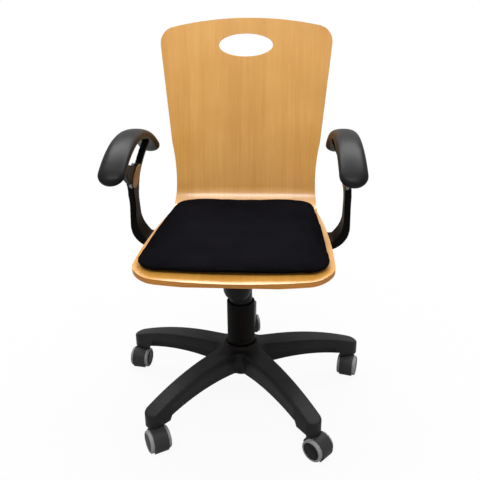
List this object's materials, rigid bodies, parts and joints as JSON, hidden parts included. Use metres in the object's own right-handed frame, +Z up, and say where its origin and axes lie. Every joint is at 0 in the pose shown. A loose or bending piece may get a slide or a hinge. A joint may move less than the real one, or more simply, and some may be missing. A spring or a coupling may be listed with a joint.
{
  "type": "swivel chair",
  "caption": "Office swivel chair with a bent plywood shell, mesh seat pad, loop arms with arched pads, gas lift and star base on twin-wheel casters.",
  "frame": {"origin": "on the floor under the column axis", "axes": "+Z up along the column, -Y towards the front of the seat, +X to the right in the picture"},
  "size_m": [0.6029, 0.5891, 0.8775],
  "materials": {
    "black_nylon": "satin, fine grain",
    "arm_pad_skin": "satin soft skin",
    "lacquered_ply": "clear lacquer, glossy",
    "inlay_wood": "satin lacquer",
    "mesh_fabric": "knitted mesh",
    "black_steel": "black powder coat",
    "bright_steel": "zinc plated",
    "white_plastic": "satin",
    "red_plastic": "satin",
    "grey_tread": "matt",
    "hub_plastic": "satin",
    "hood_plastic": "satin"
  },
  "bodies": {
    "base": {"star_base": "black_nylon", "caster_stems": "bright_steel", "column_tube": "black_steel", "guide_bush": "white_plastic", "thrust_bearing": "bright_steel", "lower_cover": "black_nylon"},
    "spindle": {"piston_rod": "bright_steel", "rod_clip": "bright_steel"},
    "lift": {"gas_cylinder": "black_steel", "upper_cover": "black_nylon", "mechanism_housing": "black_steel", "tilt_pivot_pin": "bright_steel", "lever_pin": "bright_steel", "tension_spring": "bright_steel"},
    "seat": {"seat_plate": "black_steel", "tension_bolt": "bright_steel", "plywood_shell": "lacquered_ply", "seat_pad": "mesh_fabric", "right_arm": "black_nylon", "left_arm": "black_nylon", "right_arm_pad": "arm_pad_skin", "left_arm_pad": "arm_pad_skin", "arm_inlays": "inlay_wood", "plate_screws": "bright_steel", "arm_screws": "bright_steel", "tee_nuts": "bright_steel"},
    "knob": {"tension_knob": "black_nylon"},
    "lever": {"lever_rod": "black_steel", "lever_grip": "black_nylon"},
    "button": {"release_button": "red_plastic"},
    "right_caster": {"right_caster_hood": "hood_plastic", "right_caster_axle": "bright_steel"},
    "right_caster_left_wheel": {"right_left_wheel_hub": "hub_plastic", "right_left_tread": "grey_tread"},
    "right_caster_right_wheel": {"right_right_wheel_hub": "hub_plastic", "right_right_tread": "grey_tread"},
    "rear_caster": {"rear_caster_hood": "hood_plastic", "rear_caster_axle": "bright_steel"},
    "rear_caster_left_wheel": {"rear_left_wheel_hub": "hub_plastic", "rear_left_tread": "grey_tread"},
    "rear_caster_right_wheel": {"rear_right_wheel_hub": "hub_plastic", "rear_right_tread": "grey_tread"},
    "left_caster": {"left_caster_hood": "hood_plastic", "left_caster_axle": "bright_steel"},
    "left_caster_left_wheel": {"left_left_wheel_hub": "hub_plastic", "left_left_tread": "grey_tread"},
    "left_caster_right_wheel": {"left_right_wheel_hub": "hub_plastic", "left_right_tread": "grey_tread"},
    "front_left_caster": {"front_left_caster_hood": "hood_plastic", "front_left_caster_axle": "bright_steel"},
    "front_left_caster_left_wheel": {"front_left_left_wheel_hub": "hub_plastic", "front_left_left_tread": "grey_tread"},
    "front_left_caster_right_wheel": {"front_left_right_wheel_hub": "hub_plastic", "front_left_right_tread": "grey_tread"},
    "front_right_caster": {"front_right_caster_hood": "hood_plastic", "front_right_caster_axle": "bright_steel"},
    "front_right_caster_left_wheel": {"front_right_left_wheel_hub": "hub_plastic", "front_right_left_tread": "grey_tread"},
    "front_right_caster_right_wheel": {"front_right_right_wheel_hub": "hub_plastic", "front_right_right_tread": "grey_tread"}
  },
  "joints": [
    {"name": "seat_swivel", "type": "hinge", "parent": "base", "child": "spindle", "pos_m": [0, 0, 0], "axis": [0, 0, 1], "continuous": true},
    {"name": "height", "type": "slide", "parent": "spindle", "child": "lift", "axis": [0, 0, 1], "range_m": [-0.08, 0.02]},
    {"name": "tilt", "type": "hinge", "parent": "lift", "child": "seat", "pos_m": [0, -0.028, 0.3715], "axis": [-1, 0, 0], "range_deg": [0, 12], "stiffness_Nm_per_rad": 70, "springref_deg": -20.05, "deforming": ["tension_spring"]},
    {"name": "tension_turn", "type": "hinge", "parent": "seat", "child": "knob", "pos_m": [0, -0.095, 0.3345], "axis": [0, 0, 1], "continuous": true},
    {"name": "lever_lift", "type": "hinge", "parent": "lift", "child": "lever", "pos_m": [-0.034, -0.062, 0.3735], "axis": [0, 1, 0], "range_deg": [0, 7]},
    {"name": "valve_press", "type": "slide", "parent": "lift", "child": "button", "axis": [0, 0, -1], "range_m": [0, 0.005], "stiffness_N_per_m": 400},
    {"name": "right_caster_swivel", "type": "hinge", "parent": "base", "child": "right_caster", "pos_m": [0.27637, 0.0845, 0], "axis": [0, 0, 1], "continuous": true},
    {"name": "right_caster_left_roll", "type": "hinge", "parent": "right_caster", "child": "right_caster_left_wheel", "pos_m": [0.27197, 0.06807, 0.025], "axis": [0.9659, -0.2588, 0], "continuous": true},
    {"name": "right_caster_right_roll", "type": "hinge", "parent": "right_caster", "child": "right_caster_right_wheel", "pos_m": [0.27197, 0.06807, 0.025], "axis": [0.9659, -0.2588, 0], "continuous": true},
    {"name": "rear_caster_swivel", "type": "hinge", "parent": "base", "child": "rear_caster", "pos_m": [0.00504, 0.28896, 0], "axis": [0, 0, 1], "continuous": true},
    {"name": "rear_caster_left_roll", "type": "hinge", "parent": "rear_caster", "child": "rear_caster_left_wheel", "pos_m": [0.00944, 0.27254, 0.025], "axis": [0.9659, 0.2588, 0], "continuous": true},
    {"name": "rear_caster_right_roll", "type": "hinge", "parent": "rear_caster", "child": "rear_caster_right_wheel", "pos_m": [0.00944, 0.27254, 0.025], "axis": [0.9659, 0.2588, 0], "continuous": true},
    {"name": "left_caster_swivel", "type": "hinge", "parent": "base", "child": "left_caster", "pos_m": [-0.27326, 0.09409, 0], "axis": [0, 0, 1], "continuous": true},
    {"name": "left_caster_left_roll", "type": "hinge", "parent": "left_caster", "child": "left_caster_left_wheel", "pos_m": [-0.27591, 0.0773, 0.025], "axis": [0.9877, -0.1564, 0], "continuous": true},
    {"name": "left_caster_right_roll", "type": "hinge", "parent": "left_caster", "child": "left_caster_right_wheel", "pos_m": [-0.27591, 0.0773, 0.025], "axis": [0.9877, -0.1564, 0], "continuous": true},
    {"name": "front_left_caster_swivel", "type": "hinge", "parent": "base", "child": "front_left_caster", "pos_m": [-0.17392, -0.23081, 0], "axis": [0, 0, 1], "continuous": true},
    {"name": "front_left_caster_left_roll", "type": "hinge", "parent": "front_left_caster", "child": "front_left_caster_left_wheel", "pos_m": [-0.16492, -0.24522, 0.025], "axis": [0.848, 0.5299, 0], "continuous": true},
    {"name": "front_left_caster_right_roll", "type": "hinge", "parent": "front_left_caster", "child": "front_left_caster_right_wheel", "pos_m": [-0.16492, -0.24522, 0.025], "axis": [0.848, 0.5299, 0], "continuous": true},
    {"name": "front_right_caster_swivel", "type": "hinge", "parent": "base", "child": "front_right_caster", "pos_m": [0.16576, -0.23674, 0], "axis": [0, 0, 1], "continuous": true},
    {"name": "front_right_caster_left_roll", "type": "hinge", "parent": "front_right_caster", "child": "front_right_caster_left_wheel", "pos_m": [0.17859, -0.24789, 0.025], "axis": [0.6561, 0.7547, 0], "continuous": true},
    {"name": "front_right_caster_right_roll", "type": "hinge", "parent": "front_right_caster", "child": "front_right_caster_right_wheel", "pos_m": [0.17859, -0.24789, 0.025], "axis": [0.6561, 0.7547, 0], "continuous": true}
  ],
  "couplings": [
    {"joint": "valve_press", "follows": "lever_lift", "m_per_rad": 0.0393}
  ]
}
